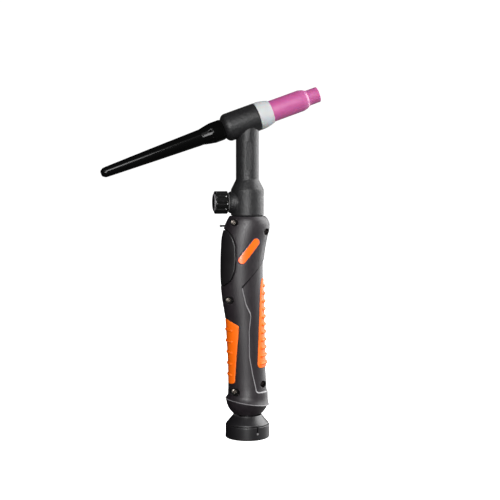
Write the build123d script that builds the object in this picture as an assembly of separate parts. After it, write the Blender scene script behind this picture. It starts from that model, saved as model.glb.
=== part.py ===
from build123d import *
import math
import os

# A gas-cooled TIG torch with a valve in its neck. Sizes are in millimetres.
# +Z runs up the handle, XZ is the plane of symmetry and +X is the nozzle's side.
# The origin is the centre of the hose ring's open end.

os.makedirs("parts", exist_ok=True)

run_gap = 0.05          # between pieces that turn or slide on each other
skin_gap = 0.1          # between pieces that are fixed side by side

# hose end and ball joint
ring_radius = 17.6
ring_height = 10.4
ring_seat_radius = 15.0
ring_seat_depth = 4.4
sleeve_neck_radius = 12.0
sleeve_flange_radius = 14.0
sleeve_flange_top = 6.2
cone_foot_z = 10.6
cone_top_radius = 11.9
ball_z = 30.0
ball_radius = 11.25
ball_top_cut = 8.6
liner_wall = 1.05
socket_radius = ball_radius + liner_wall + 2 * run_gap
cable_bore_radius = 5.3
stem_radius = 6.6
mouth_half_angle = 47.0
cup_radius = 16.55      # the sleeve's hollow top, round the ball's centre
bowl_z = 32.0
bowl_radius = 17.3

# handle: front z, rear z, front x, rear x, half width of each oval section
handle_top_z = 176.8
handle_sections = [
    (176.8, 176.8, -14.2, 14.2, 14.0),
    (175.2, 175.2, -15.2, 15.7, 15.0),
    (172.0, 172.0, -16.9, 17.4, 15.9),
    (167.5, 167.5, -18.7, 17.7, 16.3),
    (161.0, 161.0, -20.5, 16.2, 16.3),
    (152.0, 152.0, -21.3, 14.4, 16.0),
    (141.0, 141.0, -21.7, 13.1, 15.6),
    (128.0, 128.0, -21.3, 13.0, 15.2),
    (112.0, 112.0, -20.0, 13.4, 14.9),
    (96.0, 96.0, -17.9, 13.8, 14.6),
    (78.0, 78.0, -16.8, 13.9, 14.4),
    (60.0, 60.0, -16.1, 14.1, 14.3),
    (46.0, 46.0, -15.7, 14.7, 14.5),
    (37.0, 36.0, -15.6, 15.4, 15.2),
    (33.6, 29.0, -16.1, 16.1, 16.1),
    (31.5, 25.7, -17.8, 17.3, 17.7),
]
wall = 2.4
foot_solid_top = 46.0   # the handle is solid up to here, round the socket
head_solid_bottom = 168.0
grip_depth = 1.7
panel_depth = 0.7
trigger_gap = 0.9
cavity_narrowest = 9.5

# torch body
neck_radius = 9.0
valve_radius = 13.0
valve_top_z = 197.6
flare_top_z = 205.6
stub_radius = 9.4
stub_bottom_z = 160.0
inlet_bottom_z = 149.0
inlet_top_z = 162.0
inlet_radius = 4.75     # the socket for the power and gas cable's stud
head_z = 252.0
head_tilt = 20.0        # degrees that the head's axis rises above +X
head_radius = 11.0
head_back = -20.5
head_front = 8.4
knob_z = 187.6

# screws: (x, z, head's seat depth from the middle plane)
front_screw_places = [(-13.0, 172.0, 6.6), (-16.5, 111.0, 5.6), (-12.5, 38.0, 5.5)]
rear_screw_places = [(13.6, 164.6, 3.4), (11.2, 43.5, 3.4)]
screw_head_radius = 2.15
screw_shank_radius = 1.25
front_recess_radius = 2.9
rear_recess_radius = 2.7

# trigger
pivot_x = -13.5
pivot_z = 127.0
pivot_radius = 1.25
plunger_z = 147.0

head = Plane(origin=(0, 0, head_z), x_dir=(0, -1, 0),
             z_dir=(math.cos(math.radians(head_tilt)), 0, math.sin(math.radians(head_tilt))))
knob_axis = Plane(origin=(0, 0, knob_z), x_dir=(0, 1, 0), z_dir=(-1, 0, 0))


# A solid turned about Z from a closed outline of (radius, height) points.
def turned(*outline):
    return revolve(make_face(Plane.XZ * Polyline(*outline, close=True)), Axis.Z, 360)


# A plain round bar, or a tube when it has a bore, between two heights on Z.
def bar(radius, low, high, bore=0):
    outer = Pos(0, 0, (low + high) / 2) * Cylinder(radius, high - low)
    if not bore:
        return outer
    return outer - Pos(0, 0, (low + high) / 2) * Cylinder(bore, high - low)


# A box between two corners.
def block(low, high):
    size = [b - a for a, b in zip(low, high)]
    middle = [(a + b) / 2 for a, b in zip(low, high)]
    return Pos(*middle) * Box(*size)


# A round bar along Y through (x, z).
def cross_bar(x, z, radius, low, high):
    return Pos(x, (low + high) / 2, z) * Rot(90, 0, 0) * Cylinder(radius, high - low)


# A round bar along X through z.
def fore_bar(z, radius, low, high):
    return Pos((low + high) / 2, 0, z) * Rot(0, 90, 0) * Cylinder(radius, high - low)


# A flat outline in the XZ plane, with rounded corners, grown or shrunk by an offset.
def side_outline(points, corner, grow=0):
    face = make_face(Plane.XZ * FilletPolyline(*points, radius=corner, close=True))
    if grow:
        face = offset(face, amount=grow, kind=Kind.ARC)
    return face


# A prism along Y over a side outline.
def side_prism(points, corner, grow=0, reach=30):
    return extrude(side_outline(points, corner, grow), amount=reach, both=True)


# The handle's outer form, made smaller all round by an inset.
def handle_form(inset=0, sections=handle_sections):
    ovals = []
    for front_z, rear_z, front_x, rear_x, half_width in sections:
        run = Vector(rear_x - front_x, 0, rear_z - front_z)
        middle = Vector((front_x + rear_x) / 2, 0, (front_z + rear_z) / 2)
        cut = Plane(origin=middle, x_dir=run, z_dir=run.cross(Vector(0, 1, 0)))
        ovals.append(cut * Ellipse(run.length / 2 - inset, half_width - inset))
    return loft(ovals)


trigger_outline = [(-40, 166.9), (-17.8, 166.9), (-14.4, 162.4), (-11.5, 154), (-11.2, 143),
                   (-12.2, 134), (-15.3, 126.5), (-20.5, 121.4), (-40, 110)]
trigger_corners = [0, 3, 6, 9, 12, 9, 6, 10, 0]
front_grip_outline = [(-40, 108.2), (-9.4, 90.8), (-10.9, 74), (-12.0, 60), (-13.0, 44), (-40, 44)]
front_grip_corners = [0, 1.5, 20, 20, 3.5, 0]
rear_grip_outline = [(40, 127.4), (10.2, 127.4), (8.8, 121), (6.6, 85), (4.9, 57.2), (40, 57.2)]
rear_grip_corners = [0, 1.2, 3, 20, 3.5, 0]
panel_outline = [(40, 171.5), (-7.6, 122), (-4.8, 108.3), (-1.0, 100), (-2.3, 86.3), (-1.9, 66.9),
                 (0.4, 53.2), (3.9, 37.6), (40, 36)]
panel_corners = [0, 3, 8, 6, 12, 20, 20, 3, 0]

outer_form = handle_form()
bowl = (Pos(0, 0, bowl_z) * Sphere(bowl_radius)) & block((-20, -20, 19.2), (20, 20, 34))
lip_front_z, lip_rear_z, lip_front_x, lip_rear_x, lip_half_width = handle_sections[-1]
lip_slope = math.degrees(math.atan2(lip_front_z - lip_rear_z, lip_rear_x - lip_front_x))
lip_level = Pos((lip_front_x + lip_rear_x) / 2, 0, (lip_front_z + lip_rear_z) / 2) * Rot(0, lip_slope, 0)
bowl = bowl & (lip_level * Pos(0, 0, -20) * Box(60, 60, 40.6))
handle_outside = outer_form + bowl


# The hollow of the handle, the socket for the ball and the hole for the torch body.
def handle_hollow():
    middle = [s for s in handle_sections if 40 < s[0] < 172.1]
    hollow = handle_form(wall, middle) & block((-30, -30, foot_solid_top), (30, 30, head_solid_bottom))
    socket = Pos(0, 0, ball_z) * Sphere(socket_radius)
    well = bar(cavity_narrowest, ball_z, foot_solid_top + 1)
    depth = 16.0
    mouth_radius = depth * math.tan(math.radians(mouth_half_angle))
    mouth = turned((0, ball_z), (mouth_radius, ball_z - depth), (0, ball_z - depth))
    throat = bar(stub_radius + skin_gap, stub_bottom_z, handle_top_z + 1)
    return [hollow, socket, well, mouth, throat]


# Bosses that carry the screws and the trigger's pin inside the handle.
def handle_bosses():
    bosses = [cross_bar(x, z, 3.3, -12, 12) for x, z, seat in front_screw_places[:2] + rear_screw_places[:1]]
    bosses = [b & handle_form(0.5) for b in bosses]
    for side in (-1, 1):
        low, high = sorted((side * 8.4, side * 12.2))
        bosses.append(cross_bar(pivot_x, pivot_z, 2.6, low, high) & handle_form(0.6))
    return bosses


# Both handle shells: one form, hollowed, then divided at the middle plane.
def handle_shells():
    body = handle_outside
    for space in handle_hollow():
        body = body - space
    opening = side_prism(trigger_outline, trigger_corners)
    for boss in handle_bosses():
        body = body + (boss - opening)
    under_grip = handle_form(grip_depth + skin_gap)
    body = body - (side_prism(front_grip_outline, front_grip_corners) - under_grip)
    body = body - opening
    panel = side_prism(panel_outline, panel_corners) - handle_form(panel_depth)
    body = body - panel
    body = body - (side_prism(rear_grip_outline, rear_grip_corners) - under_grip)
    body = body - badge_prism(badge_half_width + skin_gap, 0)
    body = body - cross_bar(pivot_x, pivot_z, pivot_radius, -11.5, 11.5)
    body = body - bar(11.5, 163.9, head_solid_bottom + 0.1)
    body = body - peg_solid()
    for x, z, seat in front_screw_places:
        body = body - screw_space(x, z, seat, front_recess_radius)
    for x, z, seat in rear_screw_places:
        body = body - screw_space(x, z, seat, rear_recess_radius)
    left = body & block((-60, -40, 0), (60, 0, 200))
    right = body & block((-60, 0, 0), (60, 40, 200))
    return largest(left), largest(right)


# The largest solid of a result, without loose chips.
def largest(shape):
    return max(shape.solids(), key=lambda s: s.volume)


# The room that a screw needs: a round recess, a clearance hole and a blind pilot hole.
def screw_space(x, z, seat, recess_radius):
    recess = cross_bar(x, z, recess_radius, -30, -seat)
    shank = cross_bar(x, z, screw_shank_radius + skin_gap, -seat, 0)
    pilot = cross_bar(x, z, screw_shank_radius, 0, 6.5)
    return recess + shank + pilot


# A row of equal cross-recessed screws along Y.
def screws(places):
    made = []
    for x, z, seat in places:
        head_part = cross_bar(x, z, screw_head_radius, -seat - 1.7, -seat)
        head_part = fillet(head_part.edges().sort_by(Axis.Y)[0], 0.7)
        shank = cross_bar(x, z, screw_shank_radius, -seat, 6.4)
        slot = Box(2.6, 1.3, 0.6) + Box(0.6, 1.3, 2.6)
        slot = Pos(x, -seat - 1.7, z) * Rot(0, 30, 0) * slot
        made.append(largest(head_part + shank - slot))
    return Compound(children=made)


# The badge's centre, slope, length and width on the left side.
badge_place = (-1.7, 150.0)
badge_slope = 51.0
badge_length = 24.6
badge_half_width = 3.5


def badge_prism(half_width, inset):
    face = SlotOverall(badge_length + 2 * (half_width - badge_half_width), 2 * half_width)
    prism = extrude(Plane.XZ * Pos(*badge_place) * Rot(0, 0, badge_slope) * face, amount=30)
    return prism - handle_form(0.9 + inset)


def badge():
    skin = badge_prism(badge_half_width, 0) & handle_form(-0.25)
    return largest(skin)


# An orange insert: a skin in the handle's pocket with raised ribs inside a plain rim.
def grip(outline, corners, ribs, rib_height, rim, half_thickness):
    skin_zone = handle_form(0.1) - handle_form(grip_depth)
    skin = side_prism(outline, corners, -skin_gap) & skin_zone
    proud_zone = handle_form(-rib_height) - handle_form(0.6)
    field = side_prism(outline, corners, -rim)
    for z in ribs:
        rib = block((-40, -30, z - half_thickness), (40, 30, z + half_thickness)) & proud_zone & field
        skin = skin + rib
    return largest(skin)


def front_grip():
    ribs = [86.9 - 9.0 * i for i in range(5)]
    return grip(front_grip_outline, front_grip_corners, ribs, 0.8, 2.0, 1.1)


def rear_grip():
    ribs = [121.5 - 6.12 * i for i in range(11)]
    return grip(rear_grip_outline, rear_grip_corners, ribs, 1.2, 1.8, 1.3)


# Small round peg that stands out of the front above the trigger.
def peg_solid():
    rod = fore_bar(169.2, 0.75, -20.8, -15.0)
    knob = Pos(-21.3, 0, 169.2) * Sphere(1.05)
    return rod + knob


lug_outline = [(-19.6, 131.0), (-19.6, 136.0), (-11.8, 129.6), (-11.8, 125.2), (-14.0, 125.2)]


# The trigger: a curved pad, two lugs to its pin and a post that meets the plunger.
def trigger_pad():
    face = side_prism(trigger_outline, trigger_corners, -trigger_gap)
    skin = face & (handle_form(-0.2) - handle_form(wall))
    for side in (-1, 1):
        low, high = sorted((side * 5.6, side * 8.2))
        lug = side_prism(lug_outline, 0.8, 0, 12)
        lug = lug & block((-40, low, 100), (0, high, 160)) & handle_form(0.6)
        skin = skin + lug
    skin = skin + fore_bar(plunger_z, 1.8, -20.2, -17.35)
    skin = skin - cross_bar(pivot_x, pivot_z, pivot_radius + run_gap, -12, 12)
    return largest(skin)


def trigger_pivot_pin():
    return cross_bar(pivot_x, pivot_z, pivot_radius, -11.4, 11.4)


# A coil spring that pushes the pad out.
def trigger_spring():
    coil_radius, wire_radius, turns, front, back = 1.9, 0.25, 4, -18.3, -10.4
    path = Helix((back - front) / turns, back - front, coil_radius)
    section = Plane(origin=path @ 0, z_dir=path % 0) * Circle(wire_radius)
    coil = sweep(section, path)
    return Pos(front, 0, 155.8) * Rot(0, 90, 0) * coil


def switch_body():
    body = block((-15.2, -4.4, 139.5), (-10.2, 4.4, 152.5))
    body = body - fore_bar(plunger_z, 1.15, -16, -12.4)
    for z in (141.6, 150.4):
        body = body - cross_bar(-11.9, z, 1.0, -6, 6)
    return body


def switch_plunger():
    return fore_bar(plunger_z, 1.1, -17.3, -13.6)


def switch_bracket():
    plate = block((-10.1, -7.4, 136.5), (-8.9, 7.4, 159.0))
    ears = block((-13.8, -5.7, 139.5), (-8.9, -4.5, 152.5)) + block((-13.8, 4.5, 139.5), (-8.9, 5.7, 152.5))
    bracket = plate + ears
    for z in (141.6, 150.4):
        bracket = bracket - cross_bar(-11.9, z, 1.0, -6, 6)
    for y in (-2.4, 2.4):
        bracket = bracket - block((-11, y - 1.3, 138.0), (-8, y + 1.3, 139.4))
    bracket = bracket - block((-11, -3.6, 136.6), (-8, 3.6, 139.4))
    return bracket


def switch_screws():
    made = []
    for z in (141.6, 150.4):
        made.append(cross_bar(-11.9, z, 0.95, -6, 6) + cross_bar(-11.9, z, 1.6, -6.9, -5.75))
    return Compound(children=made)


def switch_terminals():
    made = []
    for y in (-2.4, 2.4):
        tag = block((-12.6, y - 1.1, 132.6), (-12.1, y + 1.1, 139.45))
        made.append(largest(tag - Pos(0, y, 0) * fore_bar(134.2, 0.5, -14, -11)))
    return Compound(children=made)


# The moulded sheath: valve housing, neck and head in one piece.
def torch_body():
    column = turned((0, stub_bottom_z), (stub_radius, stub_bottom_z), (stub_radius, 164.0), (11.4, 164.0),
                    (11.4, 167.9), (stub_radius, 167.9), (stub_radius, handle_top_z + 0.3),
                    (valve_radius, handle_top_z + 0.3), (valve_radius, valve_top_z),
                    (neck_radius, flare_top_z), (neck_radius, head_z), (0, head_z))
    column = column.solid()
    rims = column.edges().filter_by(GeomType.CIRCLE).filter_by(lambda e: e.center().Z > valve_top_z - 1)
    rims = rims.filter_by(lambda e: e.center().Z < flare_top_z + 1)
    column = fillet(rims, 2.5)
    boss = knob_axis * turned((0, 0), (9.6, 0), (9.6, 11.0), (8.1, 14.9), (0, 14.9))
    barrel = head * bar(head_radius, head_back, head_front)
    shoulder = barrel.edges().sort_by(Axis(head.origin, head.z_dir))[0]
    barrel = fillet(shoulder, 3.0)
    sheath = column + boss + barrel
    slot = extrude(Plane.XZ * Pos(0, 223.8) * Rot(0, 0, 90) * SlotOverall(23.2, 5.0), amount=20, both=True)
    sheath = sheath - (slot - bar(neck_radius - 0.6, 200, 245))
    sheath = sheath - bar(10.6, 179.6, 195.2) - bar(7.0, stub_bottom_z - 1, 180) - bar(3.3, 190, head_z)
    sheath = sheath - head * bar(8.2, head_back + 3.0, head_front + 1)
    sheath = sheath - head * bar(6.8, head_back - 1, head_back + 4)
    sheath = sheath - knob_axis * bar(5.4, 8, 16)
    return largest(sheath)


def head_core():
    core = head * bar(8.2, head_back + 3.0, head_front)
    core = core - head * bar(6.5, head_back, -8.0)
    core = core - head * bar(3.6, -9.0, head_front + 1) - head * bar(4.75, -2.5, head_front + 1)
    return largest(core - bar(3.0, 230, 247.2))


def neck_tube():
    tube = bar(3.3, 193.0, 248.5, 2.3)
    return largest(tube - head * bar(8.25, -40, 30))


def valve_block():
    core = bar(10.6, 179.6, 195.2) + bar(7.0, 168.0, 179.7)
    core = core - bar(3.3, 193.0, 196) - bar(2.3, 183.0, 194) - bar(5.0, 167, 171.5) - bar(2.0, 171, 186)
    core = core - knob_axis * bar(2.0 + run_gap, -1.0, 12) - knob_axis * bar(5.3, 9.6, 13)
    return largest(core)


# Brass nipple on the valve block; the cable's stud screws in from below.
def inlet_connector():
    nut = extrude(Pos(0, 0, inlet_bottom_z) * RegularPolygon(7.6, 6), amount=10.8)
    nut = fillet(nut.edges().filter_by(Axis.Z), 0.6)
    body = nut + bar(6.9, 159.7, 167.9) + bar(4.95, 167.9, 171.4)
    return largest(body - bar(1.9, 160, 172) - bar(inlet_radius, 148, inlet_top_z))


def valve_stem():
    groove = bar(2.2, 12.0, 13.2, 1.6)
    return largest(knob_axis * (bar(2.0, 4.0, 17.4) + bar(1.0, 0.6, 4.2) + bar(2.6, 17.4, 24.0) - groove))


def valve_o_ring():
    return knob_axis * (Pos(0, 0, 12.6) * Torus(2.15, 0.5))


# The collar that closes the valve, seen between the housing and the knob.
def packing_nut():
    nut = bar(5.2, 11.6, 15.3) + bar(6.9, 15.0, 15.9)
    return largest(knob_axis * (nut - bar(2.75, 11, 15.0) - bar(2.0 + run_gap, 11, 17)))


def valve_knob():
    knob = bar(8.6, 16.4, 26.2, 2.6 + run_gap)
    flute = bar(1.0, 17.6, 25.6)
    flutes = [Rot(0, 0, 30 * i) * Pos(9.15, 0, 0) * flute for i in range(12)]
    knob = knob + bar(9.0, 16.9, 25.8, 8.0)
    for cut in flutes:
        knob = knob - cut
    knob = knob + bar(4.6, 24.1, 25.0)
    return largest(knob_axis * (knob - bar(7.2, 25.2, 27)))


def knob_cap():
    return largest(knob_axis * turned((0, 25.3), (7.15, 25.3), (7.15, 26.3), (6.2, 27.4), (3.4, 28.0), (0, 28.1)))


def nozzle():
    outer = turned((0, 14.0), (8.5, 14.0), (8.5, 45.8), (8.1, 48.2), (7.3, 50.2), (6.4, 51.9), (6.15, 54.0),
                   (6.15, 61.0), (0, 61.0))
    inner = turned((0, 13.0), (6.65, 13.0), (6.65, 27.0), (6.3, 28.0), (6.3, 44.0), (4.76, 49.0),
                   (4.76, 62.0), (0, 62.0))
    return largest(head * (outer - inner))


def cup_gasket():
    outer = turned((6.75, 8.4), (11.0, 8.4), (11.0, 11.2), (10.75, 13.6), (10.2, 16.2), (9.6, 18.2),
                   (9.15, 19.9), (6.75, 19.9))
    return largest(head * (outer - bar(8.55, 14.0, 21.0)))


def collet_body():
    body = bar(4.7, -1.5, 8.5) + bar(6.6, 8.5, 26.0) + bar(4.2, 26.0, 38.0)
    body = body + turned((0, 38.0), (4.2, 38.0), (2.0, 41.5), (0, 41.5))
    body = body - bar(3.25, -2.0, 37.0) - bar(1.35, 36.0, 42.0)
    for i in range(4):
        body = body - Rot(0, 0, 90 * i) * Pos(0, 0, 33.0) * Rot(0, 90, 0) * Cylinder(0.8, 20)
    return largest(head * body)


def collet():
    body = bar(3.2, -8.5, 34.0) - bar(1.25, -9.0, 35.0)
    for i in range(2):
        body = body - Rot(0, 0, 90 * i) * block((-4, -0.25, 14.0), (4, 0.25, 35.0))
    return largest(head * body)


def tungsten_electrode():
    return head * turned((0, -118.0), (1.2, -118.0), (1.2, 52.0), (0.15, 57.0), (0, 57.0))


def back_cap():
    shape = turned((0, -122.0), (1.4, -121.8), (2.8, -120.8), (3.7, -119.3), (4.0, -117.6), (5.2, -80.0),
                   (6.3, -38.8), (6.6, -37.6), (7.95, -31.0), (8.15, -29.6), (8.15, -22.4), (7.8, -20.75),
                   (6.45, -20.75), (6.45, -9.6), (0, -9.6))
    shape = shape - bar(3.2, -60.0, -9.0) - bar(1.9, -119.5, -59.0)
    groove = bar(8.0, -19.95, -18.15) - bar(4.95, -20.5, -17.0)
    flute = Pos(9.4, 0, 0) * bar(2.0, -38.0, -30.4)
    for i in range(10):
        shape = shape - Rot(0, 0, 36 * i) * flute
    return largest(head * (shape - groove))


def back_cap_o_ring():
    return head * (Pos(0, 0, -19.05) * Torus(5.86, 0.85))


def ball_liner():
    ball_shell = Sphere(ball_radius + run_gap + liner_wall) - Sphere(ball_radius + run_gap)
    shell = Pos(0, 0, ball_z) * ball_shell
    depth = 16.0
    mouth_radius = depth * math.tan(math.radians(mouth_half_angle + 0.5))
    shell = shell - turned((0, ball_z), (mouth_radius, ball_z - depth), (0, ball_z - depth))
    return largest(shell - bar(8.8, ball_z, ball_z + 20))


def ball_sleeve():
    ball = Pos(0, 0, ball_z) * Sphere(ball_radius)
    ball = ball & block((-20, -20, 0), (20, 20, ball_z + ball_top_cut))
    stem = bar(stem_radius, 8.0, ball_z - 4)
    cone = turned((0, 4.6), (sleeve_flange_radius, 4.6), (sleeve_flange_radius, sleeve_flange_top),
                  (sleeve_neck_radius, sleeve_flange_top), (sleeve_neck_radius, cone_foot_z),
                  (17.5, cone_foot_z), (cone_top_radius, 17.2), (cone_top_radius, 24.0), (0, 24.0))
    cone = cone - Pos(0, 0, ball_z) * Sphere(cup_radius)
    return largest(cone + stem + ball - bar(cable_bore_radius, 0, 60))


def hose_ring():
    ring = turned((ring_seat_radius, 0), (ring_radius, 0), (ring_radius, ring_height),
                  (sleeve_neck_radius + run_gap, ring_height), (sleeve_neck_radius + run_gap, 6.4),
                  (14.2, 6.4), (14.2, ring_seat_depth), (ring_seat_radius, ring_seat_depth))
    turn = Rot(0, 0, 16.3)
    slit = turn * block((-0.35, -20, 4.2), (0.35, -16.4, 9.0))
    dimple = turn * Pos(0, -ring_radius, 3.3) * Sphere(0.7)
    return largest(ring - slit + (dimple & bar(ring_radius + 0.3, 0, 20)))


left_shell, right_shell = handle_shells()
pieces = {
    "handle_shell_left": left_shell,
    "handle_shell_right": right_shell,
    "front_grip": front_grip(),
    "rear_grip": rear_grip(),
    "badge": badge(),
    "peg": peg_solid(),
    "front_screws": screws(front_screw_places),
    "rear_screws": screws(rear_screw_places),
    "trigger_pad": trigger_pad(),
    "trigger_pivot_pin": trigger_pivot_pin(),
    "trigger_spring": trigger_spring(),
    "switch_body": switch_body(),
    "switch_plunger": switch_plunger(),
    "switch_bracket": switch_bracket(),
    "switch_screws": switch_screws(),
    "switch_terminals": switch_terminals(),
    "torch_body": torch_body(),
    "head_core": head_core(),
    "neck_tube": neck_tube(),
    "valve_block": valve_block(),
    "inlet_connector": inlet_connector(),
    "valve_stem": valve_stem(),
    "valve_o_ring": valve_o_ring(),
    "packing_nut": packing_nut(),
    "valve_knob": valve_knob(),
    "knob_cap": knob_cap(),
    "nozzle": nozzle(),
    "cup_gasket": cup_gasket(),
    "collet_body": collet_body(),
    "collet": collet(),
    "tungsten_electrode": tungsten_electrode(),
    "back_cap": back_cap(),
    "back_cap_o_ring": back_cap_o_ring(),
    "ball_liner": ball_liner(),
    "ball_sleeve": ball_sleeve(),
    "hose_ring": hose_ring(),
}
for name, shape in pieces.items():
    export_step(shape, "parts/" + name + ".step")
    print(name, round(shape.volume, 1))
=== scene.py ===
import bpy
import bmesh
import math
import numpy as np
from mathutils import Matrix, Vector
from mathutils.geometry import delaunay_2d_cdt, tessellate_polygon
from mathutils.kdtree import KDTree


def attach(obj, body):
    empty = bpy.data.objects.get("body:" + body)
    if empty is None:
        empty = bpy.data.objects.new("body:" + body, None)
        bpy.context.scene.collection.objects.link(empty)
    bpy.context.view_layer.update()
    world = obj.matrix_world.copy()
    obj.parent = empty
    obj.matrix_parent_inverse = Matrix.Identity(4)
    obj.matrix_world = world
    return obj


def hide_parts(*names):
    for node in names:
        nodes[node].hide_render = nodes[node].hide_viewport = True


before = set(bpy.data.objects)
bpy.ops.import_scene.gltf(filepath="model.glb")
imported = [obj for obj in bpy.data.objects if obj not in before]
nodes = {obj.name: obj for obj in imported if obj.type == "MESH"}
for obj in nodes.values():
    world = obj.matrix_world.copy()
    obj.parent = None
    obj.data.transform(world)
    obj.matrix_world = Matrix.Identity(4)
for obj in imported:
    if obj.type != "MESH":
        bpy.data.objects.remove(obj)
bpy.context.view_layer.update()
mm = 0.001

# Heights on the neck's axis, in mm, and the head's slope, as in the CAD model.
layout = {
    "headZ": 252.0,
    "headTilt": 20.0,       # degrees above level
    "knobZ": 187.6,
    "ballZ": 30.0,
}
headPlace = (Matrix.Translation((0, 0, layout["headZ"] * mm))
             @ Matrix.Rotation(math.radians(90 - layout["headTilt"]), 4, "Y"))
knobPlace = Matrix.Translation((0, 0, layout["knobZ"] * mm)) @ Matrix.Rotation(math.radians(-90), 4, "Y")
uprightPlace = Matrix.Identity(4)


def toLinear(hexText):
    parts = [int(hexText[i:i + 2], 16) / 255 for i in (1, 3, 5)]
    return tuple(c / 12.92 if c <= 0.04045 else ((c + 0.055) / 1.055) ** 2.4 for c in parts) + (1.0,)


def addNode(tree, kind, settings=None, values=None, links=None):
    node = tree.nodes.new(kind)
    for name, value in (settings or {}).items():
        setattr(node, name, value)
    for name, value in (values or {}).items():
        node.inputs[name].default_value = value
    for name, socket in (links or {}).items():
        tree.links.new(socket, node.inputs[name])
    return node


def startMaterial(name):
    made = bpy.data.materials.new(name)
    made.use_nodes = True
    made.node_tree.nodes.clear()
    tree = made.node_tree
    place = addNode(tree, "ShaderNodeTexCoord").outputs["Object"]
    return made, tree, place


# A moulded finish: mould grain in the bump, cloudy tone and gloss, paler worn edges.
# Grain and cloud are in mm. Real spark texture is about 0.2 mm, too fine to show from here, so the
# handle's and the sheath's are drawn five to seven times as coarse.
def mouldedFinish(name, look):
    made, tree, place = startMaterial(name)
    grain = addNode(tree, "ShaderNodeTexNoise", values={
        "Scale": 1 / (look["grain"] * mm), "Detail": 3.0, "Roughness": 0.62}, links={"Vector": place})
    cloud = addNode(tree, "ShaderNodeTexNoise", values={
        "Scale": 1 / (look["cloud"] * mm), "Detail": 4.0, "Roughness": 0.55}, links={"Vector": place})
    tone = addNode(tree, "ShaderNodeMix", {"data_type": "RGBA"}, {
        6: toLinear(look["dark"]), 7: toLinear(look["light"])}, {0: cloud.outputs["Fac"]})
    edge = addNode(tree, "ShaderNodeMapRange", values={
        "From Min": 0.52, "From Max": 0.62, "To Max": look["wear"]},
        links={"Value": addNode(tree, "ShaderNodeNewGeometry").outputs["Pointiness"]})
    worn = addNode(tree, "ShaderNodeMix", {"data_type": "RGBA"}, {7: toLinear(look["worn"])}, {
        0: edge.outputs["Result"], 6: tone.outputs[2]})
    mixed = addNode(tree, "ShaderNodeMath", {"operation": "MULTIPLY_ADD"}, {1: 0.5}, {
        0: grain.outputs["Fac"], 2: cloud.outputs["Fac"]})
    gloss = addNode(tree, "ShaderNodeMapRange", values={
        "From Min": 0.5, "From Max": 1.0, "To Min": look["rough"][0], "To Max": look["rough"][1]},
        links={"Value": mixed.outputs["Value"]})
    bump = addNode(tree, "ShaderNodeBump", values={
        "Strength": look["bump"], "Distance": look["depth"] * mm}, links={"Height": grain.outputs["Fac"]})
    shader = addNode(tree, "ShaderNodeBsdfPrincipled", values={
        "IOR": look["ior"], "Specular IOR Level": look.get("shine", 0.5),
        "Coat Weight": look.get("coat", 0.0), "Coat Roughness": 0.06,
        "Subsurface Weight": look.get("inside", 0.0), "Subsurface Scale": 2 * mm}, links={
        "Base Color": worn.outputs[2], "Roughness": gloss.outputs["Result"],
        "Normal": bump.outputs["Normal"]})
    addNode(tree, "ShaderNodeOutputMaterial", links={"Surface": shader.outputs["BSDF"]})
    return made


# A machined metal: fine scratches, patches of tarnish and a slight change of gloss.
def machinedFinish(name, look):
    made, tree, place = startMaterial(name)
    stretch = addNode(tree, "ShaderNodeMapping", values={"Scale": look["stretch"]}, links={"Vector": place})
    scratch = addNode(tree, "ShaderNodeTexNoise", values={
        "Scale": 1 / (look["scratch"] * mm), "Detail": 4.0, "Roughness": 0.7},
        links={"Vector": stretch.outputs["Vector"]})
    patch = addNode(tree, "ShaderNodeTexNoise", values={
        "Scale": 1 / (look["patch"] * mm), "Detail": 5.0, "Roughness": 0.6}, links={"Vector": place})
    tone = addNode(tree, "ShaderNodeMix", {"data_type": "RGBA"}, {
        6: toLinear(look["dark"]), 7: toLinear(look["light"])}, {0: patch.outputs["Fac"]})
    gloss = addNode(tree, "ShaderNodeMapRange", values={
        "From Min": 0.3, "From Max": 0.7, "To Min": look["rough"][0], "To Max": look["rough"][1]},
        links={"Value": scratch.outputs["Fac"]})
    bump = addNode(tree, "ShaderNodeBump", values={
        "Strength": 0.25, "Distance": 0.02 * mm}, links={"Height": scratch.outputs["Fac"]})
    shader = addNode(tree, "ShaderNodeBsdfPrincipled", values={"Metallic": 1.0}, links={
        "Base Color": tone.outputs[2], "Roughness": gloss.outputs["Result"],
        "Normal": bump.outputs["Normal"]})
    addNode(tree, "ShaderNodeOutputMaterial", links={"Surface": shader.outputs["BSDF"]})
    return made


# Glass-filled nylon, spark-textured mould: even dark grey, dull, glitters a little at the grain.
glassFilledNylon = mouldedFinish("glassFilledNylon", {
    "grain": 1.1, "cloud": 2.2, "dark": "#131013", "light": "#241e22", "worn": "#464346", "wear": 0.3,
    "rough": (0.4, 0.54), "bump": 1.0, "depth": 0.14, "ior": 1.53, "shine": 0.46})
# The same nylon darker and matt, for the screw recesses, the ring's slit and the panel's top edge:
# it stands for the shade there.
shadedNylon = mouldedFinish("shadedNylon", {
    "grain": 0.6, "cloud": 22, "dark": "#060506", "light": "#0a090a", "worn": "#141314", "wear": 0.2,
    "rough": (0.6, 0.7), "bump": 0.3, "depth": 0.05, "ior": 1.5, "shine": 0.15})
# The same nylon paler, for the panel's step and the foot's lip: a painted highlight for the light they catch.
paintedHighlightNylon = mouldedFinish("paintedHighlightNylon", {
    "grain": 0.6, "cloud": 12, "dark": "#676567", "light": "#767476", "worn": "#8a888a", "wear": 0.3,
    "rough": (0.34, 0.44), "bump": 0.3, "depth": 0.05, "ior": 1.53})
# Thermoplastic elastomer overmould: soft satin orange.
thermoplasticElastomer = mouldedFinish("thermoplasticElastomer", {
    "grain": 0.6, "cloud": 16, "dark": "#e85e00", "light": "#f46c04", "worn": "#ff9440", "wear": 0.25,
    "rough": (0.48, 0.6), "bump": 0.3, "depth": 0.03, "ior": 1.45})
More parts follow.
